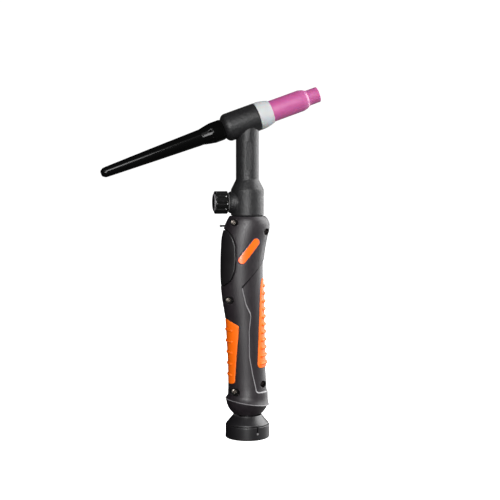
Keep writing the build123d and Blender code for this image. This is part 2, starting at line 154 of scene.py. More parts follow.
# Silicone rubber sheath over the brass: near black, dull, with a coarse cast grain.
siliconeSheath = mouldedFinish("siliconeSheath", {
    "grain": 1.4, "cloud": 1.8, "dark": "#0b0b0c", "light": "#212122", "worn": "#434344", "wear": 0.3,
    "rough": (0.36, 0.54), "bump": 1.0, "depth": 0.4, "ior": 1.5, "shine": 0.4})
# Polished phenolic resin of the back cap: deep black with a clear gloss.
polishedPhenolic = mouldedFinish("polishedPhenolic", {
    "grain": 4.0, "cloud": 18, "dark": "#050505", "light": "#0a0a0a", "worn": "#1c1c1c", "wear": 0.2,
    "rough": (0.1, 0.13), "bump": 0.02, "depth": 0.01, "ior": 1.5, "shine": 0.08})
# ABS of the valve knob: black, moulded in a polished tool. Its pale sharp edges are partly wear and partly a
# painted highlight along the flutes.
polishedAbs = mouldedFinish("polishedAbs", {
    "grain": 0.8, "cloud": 9, "dark": "#0b0b0b", "light": "#141414", "worn": "#6a6a6a", "wear": 0.7,
    "rough": (0.14, 0.2), "bump": 0.05, "depth": 0.01, "ior": 1.53, "shine": 0.6})
# The same ABS paler, as a painted highlight: a light ring round the knob's dark end disc, and on the ring's
# raised dot.
paintedHighlightAbs = mouldedFinish("paintedHighlightAbs", {
    "grain": 0.8, "cloud": 9, "dark": "#5c5a5c", "light": "#6c6a6c", "worn": "#8a8a8a", "wear": 0.3,
    "rough": (0.25, 0.35), "bump": 0.1, "depth": 0.01, "ior": 1.53})
# Trigger pad: soft black ABS, finely textured.
texturedAbs = mouldedFinish("texturedAbs", {
    "grain": 0.5, "cloud": 14, "dark": "#121112", "light": "#1b191b", "worn": "#393739", "wear": 0.25,
    "rough": (0.36, 0.46), "bump": 0.3, "depth": 0.03, "ior": 1.53, "shine": 0.35})
# Hose-end polyamide: black, a little smoother than the handle.
hosePolyamide = mouldedFinish("hosePolyamide", {
    "grain": 0.6, "cloud": 15, "dark": "#111012", "light": "#1a191b", "worn": "#4c4a4c", "wear": 0.3,
    "rough": (0.34, 0.44), "bump": 0.5, "depth": 0.05, "ior": 1.53, "shine": 0.5})
# Pink alumina, fired and unglazed: chalky, with a faint speckle, a little light gets in.
pinkAlumina = mouldedFinish("pinkAlumina", {
    "grain": 0.8, "cloud": 9, "dark": "#a2447b", "light": "#b3588e", "worn": "#d98ab8", "wear": 0.3,
    "rough": (0.34, 0.46), "bump": 0.25, "depth": 0.02, "ior": 1.77, "inside": 0.12})
# Turned PTFE: milky off-white, waxy.
turnedPtfe = mouldedFinish("turnedPtfe", {
    "grain": 0.7, "cloud": 10, "dark": "#a4a8a9", "light": "#b4b7b8", "worn": "#cccece", "wear": 0.2,
    "rough": (0.34, 0.44), "bump": 0.15, "depth": 0.02, "ior": 1.36, "inside": 0.2})
# Lacquered badge plate and its navy rim.
lacqueredPlate = mouldedFinish("lacqueredPlate", {
    "grain": 1.5, "cloud": 8, "dark": "#fa5f0a", "light": "#ff6c14", "worn": "#ff9a50", "wear": 0.2,
    "rough": (0.3, 0.38), "bump": 0.05, "depth": 0.01, "ior": 1.5, "coat": 0.15})
navyInk = mouldedFinish("navyInk", {
    "grain": 1.0, "cloud": 8, "dark": "#1d2036", "light": "#262a44", "worn": "#3c4060", "wear": 0.2,
    "rough": (0.3, 0.4), "bump": 0.1, "depth": 0.01, "ior": 1.5})
# Nitrile seals, acetal and small switch parts.
nitrileRubber = mouldedFinish("nitrileRubber", {
    "grain": 0.5, "cloud": 5, "dark": "#0c0c0c", "light": "#161616", "worn": "#2c2c2c", "wear": 0.2,
    "rough": (0.45, 0.6), "bump": 0.2, "depth": 0.02, "ior": 1.52})
naturalAcetal = mouldedFinish("naturalAcetal", {
    "grain": 0.7, "cloud": 8, "dark": "#cfcdc4", "light": "#dedcd4", "worn": "#ecebe6", "wear": 0.2,
    "rough": (0.25, 0.35), "bump": 0.1, "depth": 0.01, "ior": 1.48, "inside": 0.1})
redAcetal = mouldedFinish("redAcetal", {
    "grain": 0.7, "cloud": 5, "dark": "#8f1c14", "light": "#a8281e", "worn": "#c05048", "wear": 0.2,
    "rough": (0.25, 0.35), "bump": 0.1, "depth": 0.01, "ior": 1.48})
# Metals: scratches run along the stretched axis and tarnish lies in patches, both sized in mm.
zincPlatedSteel = machinedFinish("zincPlatedSteel", {
    "stretch": (1, 1, 1), "scratch": 0.5, "patch": 2.5, "dark": "#746c66", "light": "#9a928b",
    "rough": (0.24, 0.4)})
# The zinc-plated steel painted dark: painted shade for the rear screws, deep in their recesses.
paintedShadeSteel = machinedFinish("paintedShadeSteel", {
    "stretch": (1, 1, 1), "scratch": 0.5, "patch": 2.5, "dark": "#2a2526", "light": "#3d3737",
    "rough": (0.34, 0.5)})
turnedBrass = machinedFinish("turnedBrass", {
    "stretch": (1, 1, 5), "scratch": 0.7, "patch": 6, "dark": "#b08a45", "light": "#d8b668",
    "rough": (0.2, 0.36)})
drawnCopper = machinedFinish("drawnCopper", {
    "stretch": (4, 4, 1), "scratch": 0.7, "patch": 6, "dark": "#a8603c", "light": "#cf8660",
    "rough": (0.24, 0.4)})
groundTungsten = machinedFinish("groundTungsten", {
    "stretch": (1, 5, 5), "scratch": 0.4, "patch": 4, "dark": "#77777a", "light": "#98989c",
    "rough": (0.28, 0.42)})
springSteel = machinedFinish("springSteel", {
    "stretch": (1, 1, 1), "scratch": 0.4, "patch": 3, "dark": "#8b8b8c", "light": "#b4b4b5",
    "rough": (0.2, 0.32)})
print("materials made")

# The finish of every CAD node. Those inside keep their CAD mesh.
nodeFinish = {
    "handle_shell_left": glassFilledNylon, "handle_shell_right": glassFilledNylon,
    "front_grip": thermoplasticElastomer, "rear_grip": thermoplasticElastomer, "badge": lacqueredPlate,
    "peg": polishedAbs, "front_screws": zincPlatedSteel, "rear_screws": zincPlatedSteel,
    "trigger_pad": texturedAbs, "trigger_pivot_pin": springSteel, "trigger_spring": springSteel,
    "switch_body": texturedAbs, "switch_plunger": redAcetal, "switch_bracket": zincPlatedSteel,
    "switch_screws": zincPlatedSteel, "switch_terminals": turnedBrass, "torch_body": siliconeSheath,
    "head_core": turnedBrass, "neck_tube": drawnCopper, "valve_block": turnedBrass,
    "inlet_connector": turnedBrass, "valve_stem": turnedBrass, "valve_o_ring": nitrileRubber,
    "packing_nut": polishedAbs, "valve_knob": polishedAbs, "knob_cap": polishedAbs,
    "nozzle": pinkAlumina, "cup_gasket": turnedPtfe, "collet_body": drawnCopper, "collet": drawnCopper,
    "tungsten_electrode": groundTungsten, "back_cap": polishedPhenolic, "back_cap_o_ring": nitrileRubber,
    "ball_liner": naturalAcetal, "ball_sleeve": hosePolyamide, "hose_ring": hosePolyamide,
}
for nodeName, finish in nodeFinish.items():
    nodes[nodeName].data.materials.clear()
    nodes[nodeName].data.materials.append(finish)


# A finished mesh piece from points in mm. Edges sharper than the angle stay crisp.
def addPiece(name, points, faces, finishes, body, replaced, sharp=38, faceFinish=None, weld=False):
    mesh = bpy.data.meshes.new(name)
    mesh.from_pydata([tuple(p) for p in np.asarray(points) * mm], [], [tuple(f) for f in faces])
    mesh.validate()
    for finish in finishes:
        mesh.materials.append(finish)
    shape = bmesh.new()
    shape.from_mesh(mesh)
    if weld:
        bmesh.ops.remove_doubles(shape, verts=shape.verts, dist=0.002 * mm)
    bmesh.ops.recalc_face_normals(shape, faces=shape.faces)
    shape.to_mesh(mesh)
    shape.free()
    if faceFinish is not None:
        mesh.polygons.foreach_set("material_index", faceFinish)
    mesh.shade_smooth()
    mesh.set_sharp_from_angle(angle=math.radians(sharp))
    piece = bpy.data.objects.new(name, mesh)
    bpy.context.scene.collection.objects.link(piece)
    for node in replaced:
        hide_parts(node)
    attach(piece, body)
    return piece


# The handle's ovals from top to foot: front height, rear height, front x, rear x, half width.
handle = {
    "ovals": [(176.8, 176.8, -14.2, 14.2, 14.0), (175.2, 175.2, -15.2, 15.7, 15.0),
              (172, 172, -16.9, 17.4, 15.9), (167.5, 167.5, -18.7, 17.7, 16.3), (161, 161, -20.5, 16.2, 16.3),
              (152, 152, -21.3, 14.4, 16.0), (141, 141, -21.7, 13.1, 15.6), (128, 128, -21.7, 13.0, 15.2),
              (112, 112, -20.4, 13.4, 14.9), (96, 96, -17.9, 13.8, 14.6), (78, 78, -16.8, 14.2, 14.4),
              (60, 60, -15.8, 15.0, 14.3), (46, 46, -15.6, 15.8, 14.5), (37, 36, -15.6, 16.4, 15.2),
              (33.6, 29.0, -16.1, 16.7, 16.1), (31.5, 25.7, -17.8, 17.4, 17.7)],
    "round": 15.0,          # mm of skin for each radian round the handle
    "step": 0.5,            # mesh spacing
    "seam": 0.22,           # width of the groove between the halves, on each
    "panelDepth": 0.7,
    "pocketDepth": 1.8,
    "wellDepth": 3.6,       # behind the trigger
    "shellWall": 5.0,
    "throat": 9.55,
    "bowl": (17.3, 32.0),   # radius and centre height
    "bowlFoot": 19.2,
    # radius and height of the well over the ball, the ball's socket and the mouth's cone
    "seat": [(10.3, 40.5), (10.3, 37), (12.1, 33), (12.4, 30), (12.0, 27), (10.9, 24.1), (9.1, 21.5),
             (11.45, 19.3)],
    "stepSpan": (0.05, 0.85),   # mm inside the panel's outline that is painted
    "stepShadeZ": 121.0,        # the step has painted shade above this, and a painted highlight below
    "sideY": -5.0,              # the step is painted only this far out to the side
    "lipHighlightBand": 0.4,             # mm of painted highlight on the skin at the foot's lip
    "screws": [(-12.6, 172.3, 6.6, 2.7), (-16.5, 111.0, 5.6, 3.2), (-11.9, 38.0, 5.5, 3.2),
               (13.6, 164.6, 3.4, 2.7), (11.2, 43.5, 3.4, 2.7)],    # x, z, floor, radius
}
# Side outlines, front to rear and height, with the radius at each corner.
triggerOutline = ([(-40, 166.9), (-17.8, 166.9), (-14.4, 162.4), (-11.5, 154), (-11.2, 143), (-12.2, 134),
                   (-15.3, 126.5), (-20.5, 121.4), (-40, 110)], [0, 3, 6, 9, 12, 9, 6, 10, 0])
frontGripOutline = ([(-40, 108.2), (-9.1, 90.8), (-10.4, 74), (-11.3, 60), (-12.1, 43.6), (-40, 43.6)],
                    [0, 1.5, 20, 20, 3.5, 0])
rearGripOutline = ([(40, 127.4), (10.6, 127.4), (9.3, 121), (7.3, 85), (5.9, 56.6), (40, 56.6)],
                   [0, 1.2, 3, 20, 3.5, 0])
panelOutline = ([(40, 171.5), (-7.6, 122), (-4.5, 108.3), (-0.5, 100), (-1.8, 86.3), (-1.5, 66.9),
                 (0.9, 53.2), (4.4, 37.2), (40, 35.8)], [0, 3, 8, 6, 12, 20, 20, 3, 0])

ovalRows = np.array(handle["ovals"], float)[::-1]
ovalLevels = (ovalRows[:, 0] + ovalRows[:, 1]) / 2
ovalSlopes = np.gradient(ovalRows, ovalLevels, axis=0)
quarter = handle["round"] * math.pi / 2
footLevel, topLevel = ovalLevels[0], ovalLevels[-1]


# The handle's oval at a level: a smooth curve through the rows above.
def ovalAt(level):
    level = np.clip(np.asarray(level, float), footLevel, topLevel)
    i = np.clip(np.searchsorted(ovalLevels, level) - 1, 0, len(ovalLevels) - 2)
    gap = ovalLevels[i + 1] - ovalLevels[i]
    t = ((level - ovalLevels[i]) / gap)[:, None]
    gap = gap[:, None]
    low, high = ovalRows[i], ovalRows[i + 1]
    return ((2 * t ** 3 - 3 * t ** 2 + 1) * low + (t ** 3 - 2 * t ** 2 + t) * gap * ovalSlopes[i]
            + (3 * t ** 2 - 2 * t ** 3) * high + (t ** 3 - t ** 2) * gap * ovalSlopes[i + 1])


# A point of the left half's skin: across is mm round the handle from its middle, depth is inwards.
def skinPoint(across, level, depth=0.0):
    def surface(a, v):
        frontZ, rearZ, frontX, rearX, half = ovalAt(v).T
        turn = a / handle["round"]
        return np.stack([(frontX + rearX) / 2 + (rearX - frontX) / 2 * np.sin(turn), -half * np.cos(turn),
                         (frontZ + rearZ) / 2 + (rearZ - frontZ) / 2 * np.sin(turn)], axis=1)
    across, level = np.asarray(across, float), np.asarray(level, float)
    level = np.clip(level, footLevel, topLevel)
    place = surface(across, level)
    reach = 0.05
    above, below = np.minimum(level + reach, topLevel), np.maximum(level - reach, footLevel)
    up = surface(across, above) - surface(across, below)
    out = np.cross(surface(across + reach, level) - surface(across - reach, level), up)
    out /= np.linalg.norm(out, axis=1)[:, None]
    return place - out * np.asarray(depth, float).reshape(-1, 1)


# Where a point of a side outline falls on the skin.
def ontoSkin(points):
    x, z = np.asarray(points, float).T
    level = z.copy()
    for _ in range(6):
        frontZ, rearZ, frontX, rearX, half = ovalAt(level).T
        part = (x - (frontX + rearX) / 2) / ((rearX - frontX) / 2)
        turn = np.arcsin(np.clip(part, -1, 1))
        here = (frontZ + rearZ) / 2 + (rearZ - frontZ) / 2 * np.sin(turn)
        level = np.clip(level + z - here, footLevel - 1, topLevel + 1)
    past = np.sign(part) * np.clip(np.abs(part) - 1, 0, 0.4) * 8
    return np.stack([turn * handle["round"] + past, level], axis=1)


# A closed outline with rounded corners, with a point each step along it (0: only at its ends).
def roundedLoop(points, corners, step):
    spots = [Vector(p) for p in points]
    loop = []
    for i, (spot, radius) in enumerate(zip(spots, corners)):
        back = (spots[i - 1] - spot).normalized()
        ahead = (spots[(i + 1) % len(spots)] - spot).normalized()
        if radius == 0:
            loop.append(spot)
            continue
        half = back.angle(ahead) / 2
        start, end = spot + back * (radius / math.tan(half)), spot + ahead * (radius / math.tan(half))
        centre = spot + (back + ahead).normalized() * (radius / math.sin(half))
        first = start - centre
        swing = first.angle_signed(end - centre)
        count = max(3, round(abs(swing) * radius / 0.45))
        loop += [centre + first @ Matrix.Rotation(swing * k / count, 2) for k in range(count + 1)]
    if step:
        filled = []
        for a, b in zip(loop, loop[1:] + loop[:1]):
            count = max(1, round((b - a).length / step))
            filled += [a.lerp(b, k / count) for k in range(count)]
        loop = filled
    apart = [p for i, p in enumerate(loop) if (p - loop[i - 1]).length > 0.01]
    return np.array([tuple(p) for p in apart])


# The same outline moved inwards by a distance.
def movedLoop(loop, inwards):
    ahead = np.roll(loop, -1, axis=0) - np.roll(loop, 1, axis=0)
    ahead /= np.linalg.norm(ahead, axis=1)[:, None]
    x, z = loop.T
    turned = np.sum(x * np.roll(z, -1) - np.roll(x, -1) * z)
    side = np.stack([-ahead[:, 1], ahead[:, 0]], axis=1) * (1 if turned > 0 else -1)
    return loop + side * inwards


# How far inside a closed outline points are, negative outside it.
def depthInside(points, loop):
    ends = np.roll(loop, -1, axis=0)
    run = ends - loop
    rise = np.where(np.abs(run[:, 1]) < 1e-9, 1e-9, run[:, 1])
    found = []
    for some in np.array_split(points, len(points) // 4000 + 1):
        rel = some[:, None, :] - loop[None]
        part = np.clip((rel * run).sum(-1) / np.maximum((run ** 2).sum(-1), 1e-9), 0, 1)
        gap = np.linalg.norm(rel - part[..., None] * run, axis=2).min(axis=1)
        x, z = some[:, :1], some[:, 1:]
        straddles = (loop[:, 1] > z) != (ends[:, 1] > z)
        crossed = straddles & (x < run[:, 0] * (z - loop[:, 1]) / rise + loop[:, 0])
        found.append(np.where(crossed.sum(axis=1) % 2 == 1, gap, -gap))
    return np.concatenate(found)


# A bar with round ends, as an outline and its corner radii.
def barOutline(start, end, radius):
    start, end = Vector(start), Vector(end)
    along = (end - start).normalized() * radius
    side = Vector((-along.y, along.x))
    spots = [start - along - side, end + along - side, end + along + side, start - along + side]
    return [tuple(p) for p in spots], [radius * 0.98] * 4


# Something shaped in the skin: rings are distances inside its outline, drops how deep the skin is there.
def shapedArea(outline, rings, drops, inset=0.0):
    fine, rough = roundedLoop(*outline, 0.12), roundedLoop(*outline, 0)
    if inset:
        fine, rough = movedLoop(fine, inset), movedLoop(rough, inset)
    return {"fine": fine, "rough": rough, "rings": rings, "drops": drops}


# A flat line thinned to about one point each step; far-off stretches are left out.
def thinned(line, step, low, high, bottom, top):
    runs, current, last = [], [], None
    margin = 1.0
    for spot in np.concatenate([line, line[:1]]):
        inside = low - margin < spot[0] < high + margin and bottom - margin < spot[1] < top + margin
        if not inside:
            if len(current) > 1:
                runs.append(current)
            current, last = [], None
        elif last is None or np.hypot(*(spot - last)) >= step:
            current.append(tuple(spot))
            last = spot
    if len(current) > 1:
        if not runs and np.hypot(*(np.array(current[0]) - current[-1])) < 2 * step:
            current.append(current[0])
        runs.append(current)
    return runs


# A mesh of the skin between two levels, with an edge along each ring of each shaped area.
def skinSheet(areas, low, high, bottom, top, step, seams=(), screws=()):
    columns, rows = round((high - low) / step), round((top - bottom) / step)
    across, levels = np.linspace(low, high, columns + 1), np.linspace(bottom, top, rows + 1)
    flat = [(a, bottom) for a in across] + [(high, v) for v in levels[1:]]
    flat += [(a, top) for a in across[::-1][1:]] + [(low, v) for v in levels[::-1][1:-1]]
    border, edges, drawn = list(range(len(flat))), [], []
    for area in areas + [dict(screw, drops=None) for screw in screws]:
        for ring in area["rings"]:
            line = ontoSkin(movedLoop(area["fine"], ring))
            drawn += thinned(line, step * 0.8, low, high, bottom, top)
    for seam in seams:
        drawn.append([(seam, v) for v in levels])
    tree = KDTree(sum(len(run) for run in drawn) + 1)
    for run in drawn:
        first = len(flat)
        ring = run[:-1] if run[0] == run[-1] else run
        flat += ring
        spots = list(range(first, first + len(ring))) + ([first] if len(ring) < len(run) else [])
        edges += list(zip(spots, spots[1:]))
        for spot in ring:
            tree.insert((spot[0], spot[1], 0), 0)
    tree.balance()
    for v in levels[1:-1]:
        for a in across[1:-1]:
            if not drawn or tree.find((a, v, 0))[2] > step * 0.6:
                flat.append((a, v))
    made = delaunay_2d_cdt([Vector(p) for p in flat], edges, [border], 1, 1e-5)
    spots, faces = np.array([tuple(p) for p in made[0]]), [list(f) for f in made[2]]
    base = skinPoint(spots[:, 0], spots[:, 1])
    side = base[:, [0, 2]]
    depth = np.zeros(len(spots))
    for area in areas:
        depth += np.interp(depthInside(side, area["rough"]), area["rings"], area["drops"])
    if seams:
        depth += np.interp(quarter - np.abs(spots[:, 0]), [0, quarter - max(seams)], [0.35, 0])
    place = skinPoint(spots[:, 0], spots[:, 1], depth)
    for screw in screws:
        inside = depthInside(side, screw["rough"])
        place[:, 1] += np.interp(inside, screw["rings"][:3], [0, 0.05, 0.25])
        sunk = inside > screw["rings"][3] - 0.02
        place[sunk, 1] = np.maximum(place[sunk, 1], -screw["floor"])
    place[:, 1] = np.minimum(place[:, 1], 0)
    faces, spots, place = compacted(faces, spots, place)
    return spots, place, faces


# A sheet and its inner side joined into one closed solid.
def thickened(outer, inner, faces):
    count = len(outer)
    used = set()
    for face in faces:
        used.update(zip(face, face[1:] + face[:1]))
    rims = [(b, a, a + count, b + count) for a, b in used if (b, a) not in used]
    return np.concatenate([outer, inner]), faces + [[i + count for i in f][::-1] for f in faces] + rims


# Only the corners that these faces use.
def compacted(faces, *arrays):
    used = sorted({i for face in faces for i in face})
    place = {old: new for new, old in enumerate(used)}
    return [[place[i] for i in face] for face in faces], *[a[used] for a in arrays]


# One of the handle's halves, closed, with its wall, throat and ball seat.
def handleHalf(side, node, areas, screws):
    spots, place, faces = skinSheet(areas, -quarter, quarter, footLevel, topLevel, handle["step"],
                                    seams=(-quarter + handle["seam"], quarter - handle["seam"]),
                                    screws=screws)
    close, skinCount = 1e-4, len(faces)
    topLine = sorted(np.flatnonzero(np.abs(spots[:, 1] - topLevel) < close), key=lambda i: spots[i, 0])
    footLine = sorted(np.flatnonzero(np.abs(spots[:, 1] - footLevel) < close), key=lambda i: spots[i, 0])
    across = spots[topLine, 0]
    turn = across / handle["round"]
    points, rows = [place], [topLine]

    def addRow(row):
        rows.append(list(range(sum(len(p) for p in points), sum(len(p) for p in points) + len(row))))
        points.append(row)

    def circle(radius, height):
        return np.stack([radius * np.sin(turn), -radius * np.cos(turn), np.full(len(turn), height)], axis=1)

    throat, topZ = handle["throat"], handle["ovals"][0][0]
    addRow(circle(throat + 0.4, topZ))
    addRow(circle(throat, topZ - 0.4))
    addRow(circle(throat, 172.0))
    for level in list(np.arange(168, 46, -6.0)) + [44.0]:
        addRow(skinPoint(across, np.full(len(across), level), handle["shellWall"]))
    for radius, height in handle["seat"]:
        addRow(circle(radius, height))
    bowlRadius, bowlZ = handle["bowl"]
    lip = place[footLine]
    start = math.acos((bowlZ - handle["bowlFoot"]) / bowlRadius)
    finish = np.arccos(np.clip((bowlZ - lip[:, 2] + 0.15) / bowlRadius, -1, 1))
    for part in np.linspace(0, 1, 13):
        bend = start + (finish - start) * part
        addRow(np.stack([bowlRadius * np.sin(bend) * np.sin(turn), -bowlRadius * np.sin(bend) * np.cos(turn),
                         bowlZ - bowlRadius * np.cos(bend)], axis=1))
    inner = lip * (0.988, 0.988, 1)
    inner[:, 2] -= 0.3
    addRow(inner)
    rows.append(footLine)
    for above, below in zip(rows, rows[1:]):
        faces += [[above[k], above[k + 1], below[k + 1], below[k]] for k in range(len(above) - 1)]
    points = np.concatenate(points)
    for end in (0, -1):
        edge = -quarter if end == 0 else quarter
        seam = sorted(np.flatnonzero(np.abs(spots[:, 0] - edge) < close), key=lambda i: spots[i, 1])
        loop = seam + [row[end] for row in rows[1:-1]]
        flat = [Vector((points[i, 0], points[i, 2], 0)) for i in loop]
        faces += [[loop[k] for k in face] for face in tessellate_polygon([flat])]
    # Painted light on the skin: painted shade and a painted highlight along the panel's step, a painted
    # highlight on the foot's lip, and painted shade in the screw recesses.
    middles = np.array([points[f].mean(axis=0) for f in faces])
    flat = middles[:, [0, 2]]
    step = depthInside(flat, panelArea["rough"])
    stepLow, stepHigh = handle["stepSpan"]
    onStep = (step > stepLow) & (step < stepHigh) & (middles[:, 1] < handle["sideY"])
    plain, shaded, pale = 0, 1, 2
    finish = np.where(onStep, np.where(middles[:, 2] > handle["stepShadeZ"], shaded, pale), plain)
    lip = [spots[f, 1].mean() < footLevel + handle["lipHighlightBand"] for f in faces[:skinCount]]
    finish[:skinCount][lip] = pale
    for screw in screws:
        finish[(depthInside(flat, screw["rough"]) > 0.02) & (middles[:, 1] < 2 - screw["floor"])] = shaded
    if side > 0:
        points = points * (1, -1, 1)
    return addPiece(node + "_skin", points, faces, [glassFilledNylon, shadedNylon, paintedHighlightNylon], "handle",
                    [node], faceFinish=finish)


# A plate let into the skin. It wraps round the front (-1) or rear (1) edge, or lies on the left side (0).
def skinPlate(outline, inset, wrap, areas, thickness, span, step=0.42):
    low, high, bottom, top = span
    whole = shapedArea(outline, [0.0], [0.0], inset)
    spots, outer, faces = skinSheet([whole] + areas, low, high, bottom, top, step)
    keep = depthInside(skinMiddles(spots, faces), whole["rough"]) > 0
    faces = [f for f, kept in zip(faces, keep) if kept]
    inner = skinPoint(spots[:, 0], spots[:, 1], thickness)
    faces, outer, inner, spots = compacted(faces, outer, inner, spots)
    if wrap:
        middle = np.abs(np.abs(spots[:, 0]) - quarter) < 1e-4
        twin = np.where(middle, np.arange(len(spots)), len(spots) + np.cumsum(~middle) - 1)
        faces = faces + [[int(twin[i]) for i in f][::-1] for f in faces]
        outer = np.concatenate([outer, outer[~middle] * (1, -1, 1)])
        inner = np.concatenate([inner, inner[~middle] * (1, -1, 1)])
    return thickened(outer, inner, faces)


# The side-view middles of faces, on the plain skin.
def skinMiddles(spots, faces):
    flat = np.array([spots[f].mean(axis=0) for f in faces])
    return skinPoint(flat[:, 0], flat[:, 1])[:, [0, 2]]


# What is let into the skin of each half.
edgeDrop = [0, 0.05, 0.25, handle["pocketDepth"]]
panelArea = shapedArea(panelOutline, [0, 0.3, 0.8, 1.1], [0, 0.08, 0.62, handle["panelDepth"]])
rearPocket = shapedArea(rearGripOutline, [-0.35, -0.12, 0, 0.08],
                        [0, 0.05, 0.25, handle["pocketDepth"] - handle["panelDepth"]])
frontPocket = shapedArea(frontGripOutline, [-0.35, -0.12, 0, 0.08], edgeDrop)
triggerWell = shapedArea(triggerOutline, [-0.5, -0.18, 0, 0.15], [0, 0.07, 0.32, handle["wellDepth"]])

badge = {"place": (-1.7, 150.0), "slope": 51.0, "length": 24.6, "half": 3.5, "gap": 0.1, "pocket": 0.9,
         "proud": 0.25, "border": 0.55}
badgeRun = Vector((math.cos(math.radians(badge["slope"])), math.sin(math.radians(badge["slope"]))))
badgeReach = badge["length"] / 2 - badge["half"]
badgeOutline = barOutline(Vector(badge["place"]) - badgeRun * badgeReach,
                          Vector(badge["place"]) + badgeRun * badgeReach, badge["half"])
badgePocket = shapedArea(badgeOutline, [-0.4, -0.15, 0, 0.06], [0, 0.04, 0.2, badge["pocket"]], -badge["gap"])


def screwRecess(x, z, floor, radius):
    outline = barOutline((x - 0.01, z), (x + 0.01, z), radius)
    area = shapedArea(outline, [-0.3, -0.1, 0, 0.06], None)
    area["floor"] = floor
    return area


sharedAreas = [panelArea, rearPocket, frontPocket, triggerWell]
recesses = [screwRecess(*screw) for screw in handle["screws"]]
handleHalf(-1, "handle_shell_left", sharedAreas + [badgePocket], recesses)
handleHalf(1, "handle_shell_right", sharedAreas, [])
print("handle halves made")

# The orange inserts: rounded rims, and ribs with round ends.
gripRim = ([0, 0.08, 0.3, 0.7], [0.75, 0.42, 0.18, 0.08])     # distances in from the rim, and how deep
frontGrip = {"inset": 0.12, "ribs": [86.9 - 9.0 * i for i in range(5)], "ribHalf": 1.1, "ribHeight": 0.8,
             "rim": 2.0, "ribEnd": -13.7, "thickness": 1.65, "edge": gripRim}
rearGrip = {"inset": 0.12, "ribs": [121.5 - 6.12 * i for i in range(11)], "ribHalf": 1.3, "ribHeight": 1.2,
            "rim": 1.8, "thickness": 1.65, "edge": gripRim}


# The x of an outline's inner edge at a height.
def edgeAt(outline, z, side):
    loop = roundedLoop(*outline, 0.5)
    near = loop[np.abs(loop[:, 1] - z) < 0.6]
    return near[:, 0].max() if side < 0 else near[:, 0].min()


def ribAreas(grip, outline, side):
    rise = grip["ribHeight"]
    half = grip["ribHalf"]
    made = []
    for z in grip["ribs"]:
        end = edgeAt(outline, z, side) + side * (grip["rim"] + half)
        if "ribEnd" in grip:
            end = min(end, grip["ribEnd"] - half)
        bar = barOutline((side * 30, z), (end, z), half)
        made.append(shapedArea(bar, [0, half * 0.2, half * 0.5, half * 0.85],
                               [0, -rise * 0.5, -rise * 0.88, -rise]))
    return made


def gripInsert(name, grip, outline, side, span):
    rings, drops = grip["edge"]
    edge = shapedArea(outline, rings, drops, grip["inset"])
    points, faces = skinPlate(outline, grip["inset"], side, [edge] + ribAreas(grip, outline, side),
                              grip["thickness"], span)
    addPiece(name + "_insert", points, faces, [thermoplasticElastomer], "handle", [name],
             sharp=50)


gripInsert("front_grip", frontGrip, frontGripOutline, -1, (-quarter, -4.0, 42.0, 110.0))
gripInsert("rear_grip", rearGrip, rearGripOutline, 1, (2.0, quarter, 55.0, 129.0))
print("grip inserts made")

# The gap and the thickness leave room for the pressed pad, round it and before its spring.
trigger = {"gap": 0.8, "thickness": 1.6, "edge": ([0, 0.12, 0.35, 0.8], [0.7, 0.35, 0.12, 0.0]),
           "sunk": 0.15}


def triggerPad():
    rings, drops = trigger["edge"]
    edge = shapedArea(triggerOutline, rings, [d + trigger["sunk"] for d in drops], trigger["gap"])
    points, faces = skinPlate(triggerOutline, trigger["gap"], -1, [edge],
                              trigger["thickness"] + 0.2, (-quarter, -6.0, 108.0, 170.0))
    addPiece("trigger_lever", points, faces, [texturedAbs], "trigger", ["trigger_pad"],
             sharp=50)


triggerPad()


def badgePlate():
    rings = [0, 0.12, 0.3, badge["border"], badge["border"] + 0.1]
    top = -badge["proud"]
    edge = shapedArea(badgeOutline, rings, [top + 0.2, top + 0.06, top, top + 0.03, top])
    low, high = badge["place"][1] - 14, badge["place"][1] + 14
    span = (-14.0, 12.0, low, high)
    points, faces = skinPlate(badgeOutline, 0.0, 0, [edge], badge["pocket"] - 0.05, span)
    place = np.asarray(points)
    middles = np.array([place[list(f)].mean(axis=0) for f in faces])[:, [0, 2]]
    inside = depthInside(middles, roundedLoop(*badgeOutline, 0))
    addPiece("badge_plate", points, faces, [navyInk, lacqueredPlate], "handle", ["badge"],
             sharp=50, faceFinish=[int(d > badge["border"]) for d in inside])


badgePlate()
print("trigger and badge made")


# Points and faces of a form turned about an axis, from a closed outline of (radius, height) in mm.
# The shape call may change each point's radius by its angle, radius and height.
def turnedForm(outline, corners, count, place, shape=None, step=2.0):
    loop = roundedLoop(outline, corners, step)
    turns = np.linspace(0, 2 * math.pi, count, endpoint=False)
    turn, radius = np.meshgrid(turns, loop[:, 0])
    height = np.repeat(loop[:, 1:], count, axis=1)
    if shape:
        radius = shape(turn, radius, height)
    flat = np.stack([radius * np.cos(turn), radius * np.sin(turn), height], axis=-1).reshape(-1, 3)
    grip = np.array(place)
    points = flat @ grip[:3, :3].T + grip[:3, 3] / mm
    rows = len(loop)
    faces = []
    for i in range(rows):
        for k in range(count):
            above, below = i * count, (i + 1) % rows * count
            after = (k + 1) % count
            faces.append([above + k, above + after, below + after, below + k])
    return points, faces


def addTurned(name, outline, corners, count, place, finish, body, replaced, shape=None, step=2.0,
              sharp=40):
    points, faces = turnedForm(outline, corners, count, place, shape, step)
    return addPiece(name, points, faces, [finish], body, replaced, sharp=sharp, weld=True)


